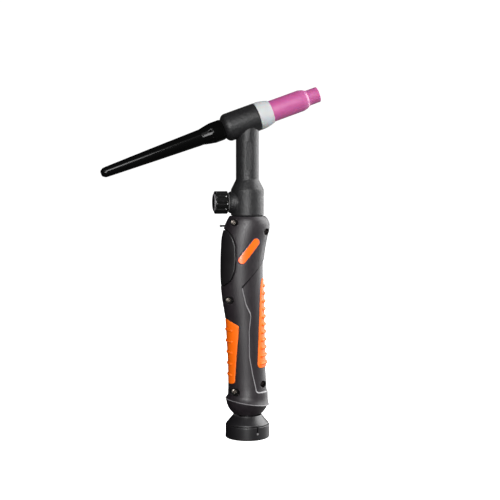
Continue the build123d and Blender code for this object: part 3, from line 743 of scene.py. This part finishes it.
# Scoops out round grooves along the axis, evenly spaced, with soft ends.
def fluted(count, circle, cutter, low, high, soft):
    def shape(turn, radius, height):
        pitch = 2 * math.pi / count
        off = (turn + pitch / 2) % pitch - pitch / 2
        inside = np.clip(1 - (circle * np.sin(off) / cutter) ** 2, 0, 1)
        wall = circle * np.cos(off) - cutter * np.sqrt(inside)
        ends = np.clip((height - low) / soft, 0, 1) * np.clip((high - height) / soft, 0, 1)
        ends = np.sqrt(np.clip(1 - (1 - ends) ** 2, 0, 1))
        cut = np.clip(radius - wall, 0, None) * (inside > 0) * ends
        return radius - cut
    return shape


# The pink nozzle on the head's axis: a barrel, a sloped shoulder and a narrow mouth.
nozzle = {"barrel": 8.5, "mouth": 6.15, "foot": 14.0, "shoulder": 45.8, "tip": 61.0}


def nozzleCup():
    b, m, foot, tip = (nozzle[k] for k in ("barrel", "mouth", "foot", "tip"))
    outline = [(6.65, foot), (b, foot), (b, nozzle["shoulder"]), (7.6, 49.4), (6.3, 51.4), (m, 52.8),
               (m, tip), (4.76, tip), (4.76, 49.0), (6.3, 44.0), (6.3, 28.0), (6.65, 27.0)]
    corners = [0.3, 0.6, 4.5, 2.2, 1.6, 1.2, 0.7, 0.35, 1, 1, 0.3, 0.3]
    addTurned("nozzle_cup", outline, corners, 120, headPlace, pinkAlumina, "handle", ["nozzle"])


gasket = {"seat": 11.0, "front": 9.15, "low": 8.45, "high": 19.9}


def cupGasket():
    seat, front, low, high = (gasket[k] for k in ("seat", "front", "low", "high"))
    outline = [(6.75, low), (seat, low), (seat, 11.2), (10.75, 13.6), (10.2, 16.2), (9.6, 18.2),
               (front, high), (8.55, high), (8.55, 14.0), (6.75, 14.0)]
    corners = [0.1, 0.35, 1.5, 4, 4, 3, 0.28, 0.15, 0.1, 0.1]
    addTurned("gasket_ring", outline, corners, 120, headPlace, turnedPtfe, "handle", ["cup_gasket"])


backCap = {"flutes": 10, "fluteCircle": 9.4, "fluteCutter": 2.0, "fluteSpan": (-38.5, -29.9),
           "fluteSoft": 1.2}


def backCapTube():
    outline = [(0, -122.0), (2.2, -121.9), (3.8, -119.4), (4.0, -117.6), (5.2, -80.0), (6.3, -38.8),
               (6.6, -37.6), (7.95, -31.0), (8.15, -29.6), (8.15, -22.4), (7.8, -20.75),
               (6.45, -20.75), (6.45, -20.0),
               (4.95, -19.95), (4.95, -18.15), (6.45, -18.1), (6.45, -9.6), (3.2, -9.6), (3.2, -60.0),
               (1.9, -60.0), (1.9, -119.0), (0, -119.0)]
    corners = [0, 1.6, 1.4, 3, 20, 2, 2, 2.5, 2, 1.2, 0.4, 0.2, 0.1, 0.15, 0.15, 0.1, 0.4, 0.3, 0.1, 0.1,
               0.1, 0]
    shape = fluted(backCap["flutes"], backCap["fluteCircle"], backCap["fluteCutter"],
                   *backCap["fluteSpan"], backCap["fluteSoft"])
    addTurned("back_cap_tube", outline, corners, 140, headPlace, polishedPhenolic, "cap", ["back_cap"],
              shape=shape, step=0.8)


# rim: the radius beyond which the end cap's outer ring carries a painted highlight.
knob = {"flutes": 12, "fluteCircle": 9.35, "fluteCutter": 1.15, "fluteSoft": 0.5, "radius": 9.0,
        "low": 16.4, "high": 26.2, "rim": 5.75}


def valveKnob():
    r, low, high = knob["radius"], knob["low"], knob["high"]
    outline = [(2.65, low), (8.75, low), (r, low + 0.25), (r, high - 0.25), (8.6, high), (7.3, high),
               (7.2, high - 0.9), (4.6, 25.2), (4.6, 24.2), (2.65, 24.2)]
    corners = [0.2, 0.1, 0.1, 0.1, 0.15, 0.2, 0.1, 0.1, 0.1, 0.1]
    shape = fluted(knob["flutes"], knob["fluteCircle"], knob["fluteCutter"], low + 1.0, high - 0.7,
                   knob["fluteSoft"])
    addTurned("valve_knob_grip", outline, corners, 168, knobPlace, polishedAbs, "valve_spindle",
              ["valve_knob"], shape=shape, step=0.7)
    outline = [(0, 25.3), (7.05, 25.3), (7.1, 26.5), (6.55, 27.25), (5.9, 27.3), (5.6, 27.05), (3.2, 27.5),
               (0, 27.6)]
    corners = [0, 0.15, 0.5, 0.3, 0.2, 0.3, 2, 0]
    disc = addTurned("knob_end_cap", outline, corners, 96, knobPlace, polishedAbs, "valve_spindle",
                     ["knob_cap"], step=0.8)
    # Painted highlight: the end cap's outer ring beyond the rim radius gets the pale ABS.
    disc.data.materials.append(paintedHighlightAbs)
    toAxis = knobPlace.inverted()
    for face in disc.data.polygons:
        spot = toAxis @ face.center / mm
        if math.hypot(spot.x, spot.y) > knob["rim"] and spot.z > knob["high"]:
            face.material_index = 1


# The ring at the hose's end, with a slit and a dot under it.
ring = {"radius": 17.6, "height": 10.4, "slitTurn": 16.3, "slitHalf": 0.5, "slitDeep": 0.9,
        "slit": (6.4, 10.6), "dot": (5.1, 0.85),    # slit from and to, dot's height and radius
        "dotRise": 0.4,                             # the dot is a ball pressed to this part of its height
        "skin": 17.0, "finished": 16.4}             # radii where the slit is cut, and where the slit's painted shade and the dot's painted highlight start


def hoseRing():
    outside, height = ring["radius"], ring["height"]
    outline = [(15.0, 0.0), (outside, 0.0), (outside, height), (12.05, height), (12.05, 6.4), (14.2, 6.4),
               (14.2, 4.4), (15.0, 4.4)]
    corners = [0.3, 0.45, 0.55, 0.3, 0.1, 0.1, 0.1, 0.1]

    def shape(turn, radius, height):
        off = (turn + math.pi / 2 - math.radians(ring["slitTurn"]) + math.pi) % (2 * math.pi) - math.pi
        across = off * radius
        low, high = ring["slit"]
        outer = radius > ring["skin"]
        depth = np.clip((ring["slitHalf"] + 0.12 - np.abs(across)) / 0.16, 0, 1)
        depth = depth * np.clip((height - low) / 0.3, 0, 1) * np.clip((high - height) / 0.3, 0, 1)
        dotZ, dotR = ring["dot"]
        bump = np.sqrt(np.clip(dotR ** 2 - across ** 2 - (height - dotZ) ** 2, 0, None)) * ring["dotRise"]
        return radius + outer * (bump - depth * ring["slitDeep"])

    collar = addTurned("hose_ring_collar", outline, corners, 640, uprightPlace, hosePolyamide, "ring",
                       ["hose_ring"], shape=shape, step=0.35)
    collar.data.materials.append(shadedNylon)
    collar.data.materials.append(paintedHighlightAbs)
    low, high = ring["slit"]
    dotZ, dotR = ring["dot"]
    # Painted shade in the slit and a painted highlight on the dot, on the outer skin only.
    for face in collar.data.polygons:
        spot = face.center / mm
        across = (math.atan2(spot.y, spot.x) + math.pi / 2 - math.radians(ring["slitTurn"])) * ring["radius"]
        if math.hypot(spot.x, spot.y) < ring["finished"]:
            continue
        if abs(across) < ring["slitHalf"] + 0.1 and low < spot.z < high:
            face.material_index = 1
        elif math.hypot(across, spot.z - dotZ) < dotR:
            face.material_index = 2


# The sleeve: flange, neck, cone, a cup that faces the bowl, a stem and the ball.
sleeve = {"ball": 11.25, "cup": 16.55, "cupRim": 11.4, "stem": 6.6, "bore": 5.3}    # radii


def ballSleeve():
    ballRadius, cupRadius, stem, bore = (sleeve[k] for k in ("ball", "cup", "stem", "bore"))
    outline = [(bore, 4.6), (14.0, 4.6), (14.0, 6.2), (12.0, 6.2), (12.0, 10.6), (17.5, 10.6), (11.9, 17.2)]
    corners = [0.3, 0.4, 0.3, 0.1, 0.1, 0.5, 0.6]
    rimBend = math.asin(sleeve["cupRim"] / cupRadius)
    for bend in np.linspace(rimBend, math.asin(stem / cupRadius), 7):
        outline.append((cupRadius * math.sin(bend), layout["ballZ"] - cupRadius * math.cos(bend)))
        corners.append(0)
    low, high = math.asin(stem / ballRadius), math.pi - math.asin(bore / ballRadius)
    for bend in np.linspace(low, high, 17):
        outline.append((ballRadius * math.sin(bend), layout["ballZ"] - ballRadius * math.cos(bend)))
        corners.append(0)
    addTurned("ball_sleeve_cone", outline, corners, 144, uprightPlace, hosePolyamide, "sleeve",
              ["ball_sleeve"], step=1.0)


nozzleCup()
cupGasket()
backCapTube()
valveKnob()
hoseRing()
ballSleeve()
print("turned pieces made")

# Cross-recessed pan heads, looking out along -Y.
screw = {"radius": 2.05, "rise": 1.7, "shank": 1.25, "length": 6.0, "crossTurn": 30, "crossHalf": 0.34,
         "crossReach": 1.35, "crossDeep": 0.85, "eachTurn": 13}


def crossScrews(name, places, replaced, finish):
    points, faces = [], []
    for x, z, floor, _ in places:
        head = screw["radius"]
        rings = [(screw["shank"], -screw["length"]), (screw["shank"], 0), (head * 0.97, 0), (head, 0.2),
                 (head, 0.9), (2.0, 1.3), (1.75, 1.55), (1.45, 1.66)]
        rings += [(r, screw["rise"]) for r in np.linspace(1.3, 0.1, 13)]
        count = 64
        grid = []
        for r, height in rings:
            for k in range(count):
                turn = 2 * math.pi * k / count
                a, b = r * math.cos(turn), r * math.sin(turn)
                slope = math.radians(screw["crossTurn"] + screw["eachTurn"] * len(points))
                u, v = a * math.cos(slope) + b * math.sin(slope), b * math.cos(slope) - a * math.sin(slope)
                arm, far = min(abs(u), abs(v)), max(abs(u), abs(v))
                onTop, deep = height > screw["rise"] - 0.1, 0
                if onTop and arm < screw["crossHalf"] and far < screw["crossReach"]:
                    deep = min(1, (screw["crossReach"] - far) / 0.5) * screw["crossDeep"]
                grid.append((x + a, -floor - height + deep, z + b))
        first = sum(len(p) for p in points)
        points.append(np.array(grid))
        for i in range(len(rings) - 1):
            for k in range(count):
                faces.append([first + i * count + k, first + i * count + (k + 1) % count,
                              first + (i + 1) * count + (k + 1) % count, first + (i + 1) * count + k])
        faces.append([first + k for k in range(count)])
        faces.append([first + (len(rings) - 1) * count + k for k in range(count)])
    addPiece(name + "_pan_heads", np.concatenate(points), faces, [finish], "handle", [replaced],
             sharp=30)


crossScrews("front", handle["screws"][:3], "front_screws", zincPlatedSteel)
# The rear heads take the dark steel as painted shade for their deep recesses.
crossScrews("rear", handle["screws"][3:], "rear_screws", paintedShadeSteel)

# The small round peg above the trigger.
peg = {"rod": 0.75, "ball": 1.05, "z": 169.2, "ballX": 21.3, "foot": 15.0}


def frontPeg():
    place = Matrix.Translation((0, 0, peg["z"] * mm)) @ Matrix.Rotation(math.radians(-90), 4, "Y")
    neckEnd = peg["ballX"] - math.sqrt(peg["ball"] ** 2 - peg["rod"] ** 2)
    outline = [(0, peg["foot"]), (peg["rod"], peg["foot"]), (peg["rod"], neckEnd)]
    for bend in np.linspace(math.asin(peg["rod"] / peg["ball"]), math.pi, 10)[1:]:
        outline.append((peg["ball"] * math.sin(bend), peg["ballX"] - peg["ball"] * math.cos(bend)))
    addTurned("front_peg", outline, [0] * len(outline), 32, place, polishedAbs, "handle", ["peg"],
              sharp=60)


frontPeg()
print("screws and peg made")

# The moulded sheath: valve housing, neck and head are joined, then bored and grooved.
sheath = {"stub": 9.4, "valve": 13.0, "valveLow": 177.3, "valveHigh": 197.6, "neck": 9.0, "flareTop": 205.6,
          "head": 11.0, "headBack": -20.5, "headFront": 8.4, "backRound": 4.6,
          "grooveZ": 223.8, "grooveLength": 23.2, "grooveHalf": 2.5,
          # how far out the cutter's rings are, and how much wider than the groove
          "grooveRings": [(8.3, -0.1), (8.45, 0.0), (9.0, 0.15), (10.5, 0.6)],
          # name, axis, radius, from and to
          "bores": [("chamber", uprightPlace, 10.6, 179.6, 195.2), ("stubBore", uprightPlace, 7.0, 159, 180),
                    ("neckBore", uprightPlace, 3.3, 190, 252), ("knobBore", knobPlace, 5.4, 8, 16),
                    ("headBore", headPlace, 8.2, -17.5, 9.4), ("backBore", headPlace, 6.8, -21.5, -16.5)]}


def solidFrom(name, points, faces):
    mesh = bpy.data.meshes.new(name)
    mesh.from_pydata([tuple(p) for p in np.asarray(points) * mm], [], [tuple(f) for f in faces])
    shape = bmesh.new()
    shape.from_mesh(mesh)
    bmesh.ops.remove_doubles(shape, verts=shape.verts, dist=0.002 * mm)
    bmesh.ops.recalc_face_normals(shape, faces=shape.faces)
    shape.to_mesh(mesh)
    shape.free()
    solid = bpy.data.objects.new(name, mesh)
    bpy.context.scene.collection.objects.link(solid)
    return solid


def turnedSolid(name, place, outline, corners, count=96, step=1.5):
    return solidFrom(name, *turnedForm(outline, corners, count, place, None, step))


def barSolid(name, place, radius, low, high, count=64):
    outline = [(0, low), (radius, low), (radius, high), (0, high)]
    return turnedSolid(name, place, outline, [0, 0, 0, 0], count, 0)


# A groove's cutter on one side of the neck, wider at the surface than at its floor.
def grooveSolid(name, side):
    reach = sheath["grooveLength"] / 2 - sheath["grooveHalf"]
    rings = []
    for _, grown in sheath["grooveRings"]:
        outline = barOutline((0, sheath["grooveZ"] - reach), (0, sheath["grooveZ"] + reach),
                             sheath["grooveHalf"] + grown)
        rings.append(roundedLoop(*outline, 1.0))
    count = min(len(r) for r in rings)
    points = []
    for (away, _), loop in zip(sheath["grooveRings"], rings):
        spots = loop[np.round(np.linspace(0, len(loop) - 1, count)).astype(int)]
        points += [(x, side * away, z) for x, z in spots]
    last = len(rings) - 1
    faces = []
    for i in range(last):
        for k in range(count):
            after = (k + 1) % count
            faces.append([i * count + k, i * count + after, (i + 1) * count + after, (i + 1) * count + k])
    faces += [list(range(count)), list(range(last * count, (last + 1) * count))]
    return solidFrom(name, points, faces)


def cut(base, tool, kind):
    change = base.modifiers.new(tool.name, "BOOLEAN")
    change.operation = kind
    change.object = tool
    change.solver = "MANIFOLD"


def torchSheath():
    stub, valve, neck, low = sheath["stub"], sheath["valve"], sheath["neck"], sheath["valveLow"]
    headZ = layout["headZ"]
    outline = [(0, 160.0), (stub, 160.0), (stub, 164.0), (11.4, 164.0), (11.4, 167.9), (stub, 167.9),
               (stub, low), (valve, low), (valve, sheath["valveHigh"]), (neck, sheath["flareTop"]),
               (neck, headZ), (0, headZ)]
    corners = [0, 0.4, 0.1, 0.3, 0.3, 0.1, 0.1, 0.6, 3.2, 3.6, 0, 0]
    base = turnedSolid("torch_sheath", uprightPlace, outline, corners, 144)
    boss = [(0, 0), (9.6, 0), (9.6, 11.0), (8.1, 14.9), (0, 14.9)]
    head, back, front = sheath["head"], sheath["headBack"], sheath["headFront"]
    barrel = [(0, back), (head, back), (head, front), (0, front)]
    tools = [turnedSolid("boss", knobPlace, boss, [0, 0, 1.4, 0.6, 0]),
             turnedSolid("barrel", headPlace, barrel, [0, sheath["backRound"], 0.5, 0], 144)]
    for tool in tools:
        cut(base, tool, "UNION")
    bores = [barSolid(*bore) for bore in sheath["bores"]]
    bores += [grooveSolid("nearGroove", -1), grooveSolid("farGroove", 1)]
    for tool in bores:
        cut(base, tool, "DIFFERENCE")
    whole = bpy.data.meshes.new_from_object(base.evaluated_get(bpy.context.evaluated_depsgraph_get()))
    base.modifiers.clear()
    base.data = whole
    for tool in tools + bores:
        bpy.data.objects.remove(tool)
    whole.materials.clear()
    whole.materials.append(siliconeSheath)
    whole.shade_smooth()
    whole.set_sharp_from_angle(angle=math.radians(32))
    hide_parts("torch_body")
    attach(base, "handle")
    print("sheath faces", len(whole.polygons))


torchSheath()

# Camera, lights and floor.
studio = {
    "cameraTurn": -11.5,        # degrees round the torch, towards the trigger's side
    "cameraAway": 884.0,        # mm
    "cameraHeight": 221.0,
    "aimHeight": 149.8,
    "aimRight": 2.1,
    "frameWidth": 395.0,        # mm seen across at the torch
    "sensor": 36.0,
    "brightSide": 105,          # degrees round to the room's bright side
    "brightLean": 0.15,         # how much its light comes from above
    "fade": (0.2, 1.05),        # where the room's light begins and where it is full
    "roomDim": 0.0,
    "roomBright": 0.75,
    "roomSeen": 1.05,           # the white that the camera sees
    "lampAim": 0.16,            # m above the floor that the lamps face
    "floorGlow": 1.2,
    # turn, rise, distance, (width, height), power
    "softBoxes": {
        "rearRight": (118, 14, 0.9, (0.4, 1.1), 8),
        "right": (84, 26, 1.1, (0.7, 1.0), 14.5),
        "front": (-30, 26, 1.2, (0.8, 0.6), 4),
        "strip": (-15, 10, 0.9, (0.15, 0.6), 11),
    },
}


def setCamera():
    turn = math.radians(studio["cameraTurn"])
    right = Vector((math.cos(turn), math.sin(turn), 0))
    back = Vector((math.sin(turn), -math.cos(turn), 0))
    aside = right * studio["aimRight"]
    spot = back * studio["cameraAway"] + aside + Vector((0, 0, studio["cameraHeight"]))
    aim = aside + Vector((0, 0, studio["aimHeight"]))
    data = bpy.data.cameras.new("camera")
    data.sensor_width = studio["sensor"]
    data.lens = studio["sensor"] * studio["cameraAway"] / studio["frameWidth"]
    data.clip_start = 0.01
    camera = bpy.data.objects.new("camera", data)
    camera.location = spot * mm
    camera.rotation_euler = (aim - spot).to_track_quat("-Z", "Y").to_euler()
    bpy.context.scene.collection.objects.link(camera)
    bpy.context.scene.camera = camera


# A soft box that faces the torch: turn and rise in degrees, sizes in m.
def softBox(name, turn, rise, away, size, power):
    data = bpy.data.lights.new(name, "AREA")
    data.shape = "RECTANGLE"
    data.size, data.size_y = size
    data.energy = power
    lamp = bpy.data.objects.new(name, data)
    turn, rise = math.radians(turn), math.radians(rise)
    spot = Vector((math.sin(turn) * math.cos(rise), -math.cos(turn) * math.cos(rise), math.sin(rise))) * away
    lamp.location = Vector((0, 0, studio["lampAim"])) + spot
    lamp.rotation_euler = (-spot).to_track_quat("-Z", "Y").to_euler()
    bpy.context.scene.collection.objects.link(lamp)


# The camera sees a white room. Its light on the torch comes only from the bright side.
def whiteRoom():
    world = bpy.data.worlds.new("whiteRoom")
    bpy.context.scene.world = world
    world.use_nodes = True
    tree = world.node_tree
    tree.nodes.clear()
    way = addNode(tree, "ShaderNodeTexCoord").outputs["Generated"]
    turn = math.radians(studio["brightSide"])
    bright = addNode(tree, "ShaderNodeVectorMath", {"operation": "DOT_PRODUCT"},
                     {1: (math.sin(turn), -math.cos(turn), studio["brightLean"])}, {0: way})
    begins, full = studio["fade"]
    level = addNode(tree, "ShaderNodeMapRange", values={
        "From Min": begins, "From Max": full, "To Min": studio["roomDim"], "To Max": studio["roomBright"]},
        links={"Value": bright.outputs["Value"]})
    direct = addNode(tree, "ShaderNodeLightPath").outputs["Is Camera Ray"]
    seen = addNode(tree, "ShaderNodeBackground", values={
        "Color": (1, 1, 1, 1), "Strength": studio["roomSeen"]})
    lit = addNode(tree, "ShaderNodeBackground", values={"Color": (1, 1, 1, 1)},
                  links={"Strength": level.outputs["Result"]})
    both = addNode(tree, "ShaderNodeMixShader", links={0: direct, 1: lit.outputs[0], 2: seen.outputs[0]})
    addNode(tree, "ShaderNodeOutputWorld", links={"Surface": both.outputs[0]})


def paleFloor():
    bpy.ops.mesh.primitive_plane_add(size=12, location=(0, 0, -0.0006))
    floor = bpy.context.object
    floor.name = "floor"
    paper, tree, place = startMaterial("paleFloor")
    shader = addNode(tree, "ShaderNodeBsdfPrincipled", values={
        "Base Color": toLinear("#f2f2f2"), "Roughness": 0.9, "Emission Color": (1, 1, 1, 1),
        "Emission Strength": studio["floorGlow"]})
    addNode(tree, "ShaderNodeOutputMaterial", links={"Surface": shader.outputs["BSDF"]})
    floor.data.materials.append(paper)
    floor.visible_diffuse = False       # the torch gets no light from below
    floor.visible_glossy = False


def setStudio():
    bpy.context.scene.view_settings.view_transform = "Standard"
    whiteRoom()
    paleFloor()
    for name, box in studio["softBoxes"].items():
        softBox(name, *box)


setCamera()
setStudio()
print("studio set")
